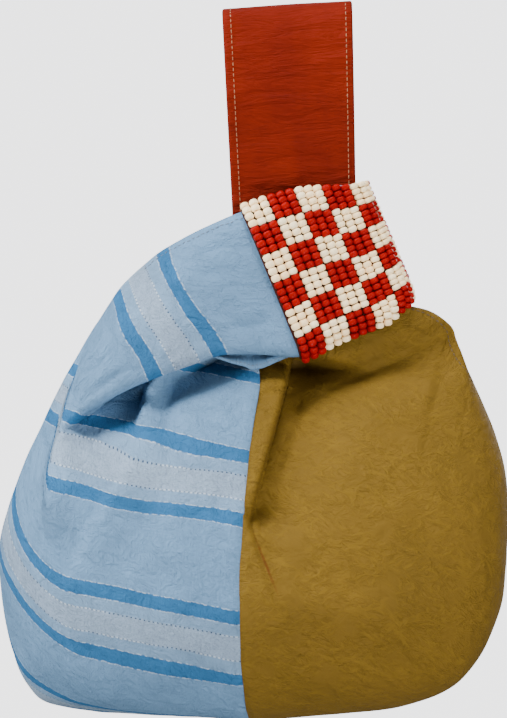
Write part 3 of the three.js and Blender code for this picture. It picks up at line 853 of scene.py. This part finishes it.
# Where the stripes cross the short handle: woven heights, and their stations at the handle's upper
# edge, half-way down and at its lower edge
FLAP_HEIGHTS = (-66, -31, -20.2, -12.3, -6.3, 6.3, 12.3, 20.2, 44, 80, 100)
FLAP_TOP = (0, 2.5, 3.1, 3.9, 4.3, 5.0, 5.6, 6.15, 8, 11, 12)
FLAP_MIDDLE = (0, 2.9, 3.38, 3.92, 4.3, 5.0, 5.45, 5.93, 8, 11, 12)
FLAP_LOW = (0, 3.2, 3.82, 4.25, 4.57, 5.27, 5.66, 6.15, 8, 11, 12)


def flap_height(place, down):
    """Woven height of the short handle's cloth at a station, down from 0 at its top edge to 1."""
    top, middle, low = (np.interp(place, at, FLAP_HEIGHTS) for at in (FLAP_TOP, FLAP_MIDDLE, FLAP_LOW))
    return np.where(
        down < 0.5, mix(top, middle, smooth(down / 0.5)), mix(middle, low, smooth((down - 0.5) / 0.5))
    )


def handle_runs(first, last, steps):
    """The short handle's runs at places from one station to another, and past the last to the end."""
    runs = []
    for place in np.linspace(first, last, int(round((last - first) * steps)) + 1):
        top_x, top_z, top_deep, low_x, low_z, low_deep, roll, turn = table_at(HANDLE_STATIONS, place)
        runs.append(dict(
            edge=point(TIP_X + low_x * REACH, 0, -LOOP_DROP - low_z * LOOP_HEIGHT),
            side=point(TIP_X + top_x * REACH, 0, -LOOP_DROP - top_z * LOOP_HEIGHT),
            out=FORWARD,
            deep_edge=low_deep * FOLD_DEPTH,
            deep_side=top_deep * LOOP_BEND if place > SPLIT_STATION else 0,
            roll=roll * FOLD_ROLL,
            turn=turn * ROLL_TURN,
            place=place,
        ))
    return runs


def end_runs(start):
    """The runs round the loop's right end, from its front to its outermost line."""
    lowest = -LOOP_DROP - END_LOW_Z * LOOP_HEIGHT
    highest = -LOOP_DROP - END_TOP_Z * LOOP_HEIGHT
    runs = []
    for k in range(END_STEPS):
        angle = math.pi / 2 * ((k + 1) / END_STEPS - 1)
        across, back = math.cos(angle), math.sin(angle)
        square = (across**4 + back**4) ** (-1 / 4)
        runs.append(dict(
            start,
            edge=point(start["edge"][0], 0, mix(start["edge"][2], lowest, across)),
            side=point(start["side"][0], 0, mix(start["side"][2], highest, across)),
            out=point(across * LOOP_END / LOOP_BEND, back, 0) * square,
            place=start["place"] + (k + 1) / END_STEPS,
        ))
    return runs


def handle_row(run):
    """One row across the short handle, from its rolled edge up to its top edge, with its values."""
    downwards = unit(run["edge"] - run["side"])
    start = run["edge"] + run["out"] * run["deep_edge"]
    angle = run["turn"] * np.arange(1, ROLL_COLUMNS + 1) / ROLL_COLUMNS
    roll = (
        start + downwards * (run["roll"] * np.sin(angle))[:, None]
        + run["out"] * (run["roll"] * (np.cos(angle) - 1))[:, None]
    )
    shares = np.linspace(0, 1, FACE_COLUMNS + 1)
    face = rounded_run(
        run["edge"], run["side"], run["out"], run["deep_edge"], run["deep_side"], shares
    )
    row = np.concatenate([roll[::-1], face])
    run_lengths = lengths(row)
    across = run_lengths[-1] - run_lengths
    down = np.concatenate([np.ones(ROLL_COLUMNS), 1 - shares])
    return row, cloth_values(across, flap_height(run["place"], down))


def loop_grid(first):
    """Rows all the way round the loop from a station on: the front, the right end and the back."""
    runs = handle_runs(first, len(HANDLE_STATIONS) - 1, ROW_STEPS)
    rows = [handle_row(run) for run in runs + end_runs(runs[-1])]
    points = np.array([row for row, _ in rows])
    values = np.array([value for _, value in rows])
    back = mirrored(points[:-1])[::-1]
    return np.concatenate([points, back]), np.concatenate([values, values[:-1][::-1]])


HANDLE_RUMPLE = (11, 0.6)  # seed and height
# Creases of the short handle's front: fromX, fromZ, toX, toZ, depth, width
HANDLE_CREASES = [
    (-49, -125, -30, -118, 1.5, 2.2),
    (-44, -133, -24, -131, 1.3, 3.0),
    (-60, -140, -30, -148, 0.9, 3.0),
    (-98, -193, -80, -180, 1.3, 2.2),
    (-99, -186, -86, -168, 1.1, 2.4),
    (-30, -160, -8, -157, 1.5, 2.6),
]


def creased(points, lines):
    """How deep the lines press into the cloth at each point, seen from the front."""
    depth = np.zeros(len(points))
    for from_x, from_z, to_x, to_z, height, width in lines:
        run = np.array([to_x - from_x, to_z - from_z])
        away = points[:, [0, 2]] - np.array([from_x, from_z])
        share = np.clip(away @ run / (run @ run), 0, 1)
        beside = np.linalg.norm(away - share[:, None] * run, axis=1)
        depth += height * np.exp(-((beside / width) ** 2)) * np.sin(math.pi * mix(0.08, 0.92, share))
    return depth


def short_handle():
    rows = [handle_row(run) for run in handle_runs(0, SPLIT_STATION, ROW_STEPS)]
    points = np.array([np.concatenate([row, mirrored(row)[::-1][1:]]) for row, _ in rows])
    values = np.array([np.concatenate([value, value[::-1][1:]]) for _, value in rows])

    def move(points, values):
        front = smooth(-points[:, 1] / 10)
        return rumpled(points, *HANDLE_RUMPLE) - front * creased(points, HANDLE_CREASES)

    return shell(
        "short_handle", [(points, values), loop_grid(SPLIT_STATION)],
        -HALF_CLOTH, HALF_CLOTH, [BLUE, BLUE_LINING], move, flip=True,
    )


NECK_HEM_TOP = ((-37, -21, -171), (-24, -18.5, -170), (-11, -15, -169.5), (7, -9, -169))
NECK_HEM_LOW = (
    (-36, -26, -173.8), (-28, -25.5, -176.6), (-21, -24.5, -178.3), (-17.5, -24, -180),
    (-12, -22.5, -179), (-3, -19, -175), (7, -13, -171),
)
NECK_HEM_CLOTH = 1.2
NECK_HEM_COLUMNS = 61
NECK_HEM_WAVE = 1.2
NECK_HEM_BULGE = 1.6
NECK_HEM_HEIGHT = 33.0  # woven height of its cloth, in a plain stretch between stripes
HEM_FROM = 4.9
HEM_DROP = 2.0


def neck_hem():
    """The turned neckline that hangs out below the short handle's fold, and its stitches."""
    low = evenly(NECK_HEM_LOW, NECK_HEM_COLUMNS)
    top = evenly(NECK_HEM_TOP, NECK_HEM_COLUMNS)
    shares = np.linspace(0, 1, 13)[:, None, None]
    grid = mix(top[None], low[None], shares)
    waves = np.arange(NECK_HEM_COLUMNS)[None] / 22
    grid[:, :, 1] -= NECK_HEM_WAVE * np.sin(2.6 * math.pi * shares[:, :, 0] + waves)
    grid[:, :, 1] -= NECK_HEM_BULGE * np.sin(math.pi * shares[:, :, 0])
    across = np.broadcast_to(lengths(low)[None], grid.shape[:2])
    values = cloth_values(across, np.full(grid.shape[:2], NECK_HEM_HEIGHT))
    half = NECK_HEM_CLOTH / 2
    lip = shell("neck_hem", [(grid, values)], -half, half, [BLUE])
    line = grid[-3]
    out = np.broadcast_to(FORWARD, line.shape)
    return lip, stitches("neck_hem_stitches", line, out, 2.0, GREY_THREAD, half + 0.05, 0.4)


def top_hem_stitches():
    """Topstitching along the upper edge of the short handle."""
    rows = [handle_row(run)[0] for run in handle_runs(HEM_FROM, BAND_STATION, ROW_STEPS)]
    grid = np.array(rows)[:, ::-1]
    line, outs = [], []
    for row, out in zip(grid, grid_normals(grid)):
        seen = np.linalg.norm((row - row[0])[:, [0, 2]], axis=1)
        first = int(np.argmax(seen > HEM_DROP))
        line.append(row[first])
        outs.append(out[first])
    return edge_stitches("top_hem_stitches", np.array(line), np.array(outs), HANDLE_RUMPLE, GREY_THREAD)


# The long handle

def curve_through(knots, count):
    """Evenly spaced points on the same kind of curve that the CAD draws through its points."""
    knots = np.concatenate([[2 * knots[0] - knots[1]], knots, [2 * knots[-1] - knots[-2]]])
    fine = []
    for a, b, c, d in zip(knots, knots[1:], knots[2:], knots[3:]):
        first, second, third = (np.linalg.norm(q - p) ** 0.5 for p, q in ((a, b), (b, c), (c, d)))
        out = ((b - a) / first - (c - a) / (first + second) + (c - b) / second) * second
        into = ((c - b) / second - (d - b) / (second + third) + (d - c) / third) * second
        for t in np.linspace(0, 1, 30, endpoint=False):
            fine.append(b + t * (out + t * (3 * (c - b) - 2 * out - into + t * (2 * (b - c) + out + into))))
    return evenly(fine + [knots[-2]], count + 1)


def strap_grid():
    top = STRAP_CLOTH / 2
    bend = STRAP_BEND + STRAP_CLOTH / 2
    side = [(gap * STRAP_BEND + STRAP_CLOTH / 2, -drop * STRAP_LENGTH) for drop, gap in STRAP_ROWS]
    side.append((bend * math.sqrt(0.5), top - bend * (1 - math.sqrt(0.5))))
    knots = [point(0, -y, z) for y, z in side] + [point(0, 0, top)]
    knots += [point(0, y, z) for y, z in side[::-1]]
    middle = curve_through(np.array(knots), STRAP_STEPS)
    down = np.maximum(0, middle[:, 2] / JOINT_Z)[:, None]
    across = np.linspace(-0.5, 0.5, STRAP_COLUMNS + 1)[None, :]
    x = STRAP_LEAN * down + across * (STRAP_WIDTH - STRAP_TAPER * down)
    z = middle[:, 2][:, None] + across * STRAP_SLANT * smooth(1 - down)
    y = np.broadcast_to(middle[:, 1][:, None], x.shape)
    climbed = np.broadcast_to(lengths(middle)[:, None], x.shape)
    return np.stack([x, y, z], axis=-1), cloth_values(x - x[:, :1], climbed)


def strap_creases(points, values):
    """Creases across the long handle, where the knot pulls at it."""
    pulled = value_noise(values[:, 0] / 34, values[:, 1] / 6, 21)
    return 0.4 * pulled + 0.5 * value_noise(values[:, 0] / 60, values[:, 1] / 17, 22)


def long_handle():
    half = STRAP_CLOTH / 2
    return shell("strap", [strap_grid()], -half, half, [RUST], strap_creases)


# Stitches

STITCH_LENGTH = 0.72  # share of the pitch
STITCH_HEIGHT = 0.36
STRAP_INSETS = (("left", 3.2, 0), ("right", 2.4, -1))  # side, inset and column of its edge
STRAP_PITCH = 2.7


def capsule():
    """Points and faces of a short rounded thread along X, one long and one wide."""
    return lathed([(-0.5, 0.0), (-0.42, 0.38), (-0.2, 0.5), (0.2, 0.5), (0.42, 0.38), (0.5, 0.0)], 6)


def lathed(profile, segments):
    """Points and faces of a profile of (place, radius) turned about X."""
    angle = np.linspace(0, 2 * math.pi, segments, endpoint=False)
    points, rings = [], []
    for place, radius in profile:
        if radius == 0:
            rings.append([len(points)] * segments)
            points.append((place, 0, 0))
            continue
        rings.append(list(range(len(points), len(points) + segments)))
        points += [(place, radius * math.cos(a), radius * math.sin(a)) for a in angle]
    faces = []
    for ring, other in zip(rings, rings[1:]):
        for k in range(segments):
            n = (k + 1) % segments
            faces.append((ring[k], ring[n], other[n], other[k]))
    return np.array(points, dtype=float), np.array(faces)


def repeated(name, shape, centres, axes, finish, values=None):
    """One mesh of many copies of a shape. axes holds three scaled directions for each copy."""
    points, faces = shape
    placed = centres[:, None, :] + np.einsum("pk,nkc->npc", points, axes)
    count = len(points)
    all_faces = faces[None] + (np.arange(len(centres)) * count)[:, None, None]
    spread = None if values is None else np.repeat(values, count, axis=0)
    return mesh_object(name, placed.reshape(-1, 3), all_faces.reshape(-1, 4), spread, [finish])


def frames(forward, normal):
    """Three unit directions for each copy: along it, beside it and out of the cloth."""
    forward = unit(forward)
    beside = unit(np.cross(normal, forward))
    return np.stack([forward, beside, np.cross(forward, beside)], axis=1)


def stitches(name, line, normals, pitch, finish, lift, width=0.5):
    """A row of stitches along a line of points."""
    run = lengths(line)
    count = int(run[-1] // pitch)
    middles = (np.arange(count) + 0.5) * run[-1] / count
    forward = along(line, middles + 0.2) - along(line, middles - 0.2)
    out = unit(read_off(normals, run, middles))
    rng = np.random.default_rng(len(name) + count)
    long = pitch * STITCH_LENGTH * rng.uniform(0.9, 1.08, count)
    size = np.stack([long, np.full(count, width), np.full(count, STITCH_HEIGHT)], axis=1)
    axes = frames(forward, out) * size[:, :, None]
    return repeated(name, capsule(), along(line, middles) + out * lift, axes, finish)


def grid_normals(grid):
    """Unit normals of a grid's points, by its own row and column order."""
    return unit(np.cross(np.gradient(grid, axis=1), np.gradient(grid, axis=0)))


def strap_stitching():
    """Topstitching near both edges of the long handle, on its outer face."""
    points, values = strap_grid()
    normals = grid_normals(points)
    if normals[0, 0, 1] > 0:
        normals = -normals
    made = []
    for name, inset, column in STRAP_INSETS:
        edge = points[:, column]
        inward = unit(points[:, len(points[0]) // 2] - edge)
        outs = normals[:, column]
        place = values[:, column] + point(inset if column == 0 else -inset, 0, 0)
        line = edge + inward * inset + outs * strap_creases(edge, place)[:, None]
        lift = STRAP_CLOTH / 2 + 0.08
        made.append(stitches("strap_stitches_" + name, line, outs, STRAP_PITCH, TAN_THREAD, lift, 0.38))
    return made


# Beads

BEAD_COLUMNS = 33
BEAD_ROWS = 24
CHECK_COLUMNS = 3
CHECK_ROWS = 4
BEAD_SHIFT = 0.09
BEAD_TILT = 0.16
BEAD_HEIGHT = BEAD * 1.06
BEAD_START = 0.18  # where the first row stands, in rows from the band's upper edge
BEAD_HALF = [
    (0.0, 0.5), (0.2, 0.488), (0.34, 0.44), (0.43, 0.36), (0.475, 0.26), (0.47, 0.15), (0.36, 0.12),
    (0.34, 0.0),
]


def bead_shape():
    """A bead about X with rounded shoulders and a small hole at each end."""
    return lathed([(-place, radius) for place, radius in BEAD_HALF[::-1]] + BEAD_HALF[1:], 12)


def spaced(lines, outs, shares):
    """Points and outward directions at shares of the length of each line."""
    found = []
    for line, out in zip(lines, outs):
        run = lengths(line)
        found.append([read_off(values, run, run[-1] * shares) for values in (line, out)])
    return np.array(found).transpose(1, 2, 0, 3)


def bead_places():
    """Centres, outward directions and pitches of the beads, column by column round the loop."""
    grid, _ = loop_grid(BAND_STATION)
    normals = grid_normals(grid)
    if normals[0, len(grid[0]) // 2, 1] > 0:
        normals = -normals
    surface = grid + normals * (CLOTH / 2 + BAND_GAP + BEAD / 2)
    down = 1 - (np.arange(BEAD_ROWS) + BEAD_START) / BEAD_ROWS
    rows, row_outs = spaced(surface, normals, down)
    centres, outs = spaced(rows, row_outs, (np.arange(BEAD_COLUMNS) + 0.5) / BEAD_COLUMNS)
    pitch = np.array([lengths(row)[-1] for row in rows]) / BEAD_COLUMNS
    return centres, outs, np.broadcast_to(pitch, (BEAD_COLUMNS, BEAD_ROWS))


def beads():
    centres, outs, pitch = bead_places()
    rng = np.random.default_rng(5)
    down = np.gradient(centres, axis=1)
    step = np.linalg.norm(down, axis=2)
    column = np.arange(BEAD_COLUMNS)[:, None]
    row = np.arange(BEAD_ROWS)[None, :]
    red = (column // CHECK_COLUMNS + row // CHECK_ROWS) % 2 == 1
    jitter = rng.normal(0, BEAD_SHIFT, centres.shape)
    axes = frames(down.reshape(-1, 3) + rng.normal(0, BEAD_TILT, (red.size, 3)), outs.reshape(-1, 3))
    size = np.stack([
        (step * rng.uniform(0.95, 1.03, red.shape)).ravel(),
        (pitch * rng.uniform(0.97, 1.05, red.shape)).ravel(),
        (BEAD_HEIGHT * rng.uniform(0.95, 1.05, red.shape)).ravel(),
    ], axis=1)
    axes = axes * size[:, :, None]
    tone = np.stack([rng.uniform(0, 1, red.size)] + [np.zeros(red.size)] * 2, axis=1)
    placed = (centres + jitter).reshape(-1, 3)
    made = []
    for name, chosen, finish in (("beads_red", red, RED_GLASS), ("beads_cream", ~red, CREAM_GLASS)):
        pick = chosen.ravel()
        made.append(repeated(name, bead_shape(), placed[pick], axes[pick], finish, tone[pick]))
    return made


def bead_backing():
    points, values = loop_grid(BAND_STATION)
    return shell(
        "bead_backing", [(points, values)], CLOTH / 2 + 0.35, CLOTH / 2 + BAND_GAP + 0.7, [BACKING],
        flip=True,
    )


# Stage, light and camera

PICTURE_MIDDLE = point(-16.75, 0, -175)
PICTURE_HEIGHT = 359
CAMERA_AWAY = 3000
SENSOR = 24


def camera():
    data = bpy.data.cameras.new("camera")
    data.sensor_fit = "VERTICAL"
    data.sensor_height = SENSOR
    data.lens = SENSOR * CAMERA_AWAY / PICTURE_HEIGHT
    made = added("camera", data)
    made.location = (PICTURE_MIDDLE + point(0, -CAMERA_AWAY, 0)) * MM
    made.rotation_euler = (math.pi / 2, 0, 0)
    bpy.context.scene.camera = made


def area_light(name, place, size, power):
    data = bpy.data.lights.new(name, "AREA")
    data.shape = "SQUARE"
    data.size = size
    data.energy = power
    made = added(name, data)
    made.location = place
    away = np.array(place) - PICTURE_MIDDLE * MM
    made.rotation_euler = (
        math.acos(away[2] / np.linalg.norm(away)), 0, math.atan2(away[1], away[0]) + math.pi / 2
    )


FLOOR_BELOW = 1200
STAGE_RINGS = 40
STAGE_SIDES = 72
STAGE_START = 60
STAGE_RADIUS = 7400
RISE_FROM = 4700
RISE_WIDTH = 2700
RISE_HEIGHT = 4800


def stage():
    """A pale floor with a smooth rise far behind it, on every side."""
    floor = BOTTOM_Z - FLOOR_BELOW
    profile = [(floor, 0)]
    for k in range(1, STAGE_RINGS + 1):
        away = STAGE_START + STAGE_RADIUS * (k / STAGE_RINGS) ** 1.5
        profile.append((floor + RISE_HEIGHT * float(smooth((away - RISE_FROM) / RISE_WIDTH)), away))
    points, faces = lathed(profile, STAGE_SIDES)
    paper = Shader("paper", 0.9, Emission_Color=srgb(250, 250, 252), Emission_Strength=2.8)
    clouds = paper.noise(paper.position(), (0.01, 0.01, 0.01))
    finish = paper.finish(paper.tinted(srgb(200, 200, 201), clouds, 0.01))
    made = mesh_object("floor", points[:, [1, 2, 0]], faces[:, ::-1], finishes=[finish])
    made.visible_diffuse = False
    made.visible_glossy = False


def light():
    world = bpy.data.worlds.new("studio")
    bpy.context.scene.world = world
    world.use_nodes = True
    background = world.node_tree.nodes["Background"]
    background.inputs[0].default_value = (1, 1, 1, 1)
    background.inputs[1].default_value = 0.3
    area_light("key", (-1.5, -0.9, 1.6), 0.7, 68)
    area_light("top", (-0.1, -0.6, 2.2), 0.7, 62)
    area_light("side", (-2.2, -0.3, 0.2), 0.8, 60)
    area_light("fill", (1.5, -1.5, 0.3), 0.9, 28)
    area_light("low_fill", (0.2, -1.6, -1.3), 0.9, 46)
    area_light("back", (0.9, 2.0, 0.7), 1.2, 40)


# Everything together

def settle(piece, slot, *nodes):
    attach(piece, "root")
    if nodes:
        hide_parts(*nodes)


camera()
left = pouch_left()
handle = short_handle()
right, side_stitches = pouch_right()
strap = long_handle()
seams = strap_stitching()
lip, lip_stitches = neck_hem()
hem_stitches = top_hem_stitches()
backing = bead_backing()
red_beads, cream_beads = beads()

settle(left, "striped_blue", "left_panel")
settle(handle, "striped_blue", "left_panel")
settle(right, "olive", "right_panel")
settle(strap, "rust", "long_handle")
settle(lip, "striped_blue", "left_panel")
for piece in seams:
    settle(piece, "rust")
for piece in side_stitches:
    settle(piece, "olive")
for piece in [lip_stitches] + hem_stitches:
    settle(piece, "striped_blue")
settle(backing, "beads", "bead_band")
settle(red_beads, "beads", "bead_band")
settle(cream_beads, "beads", "bead_band")

stage()
light()
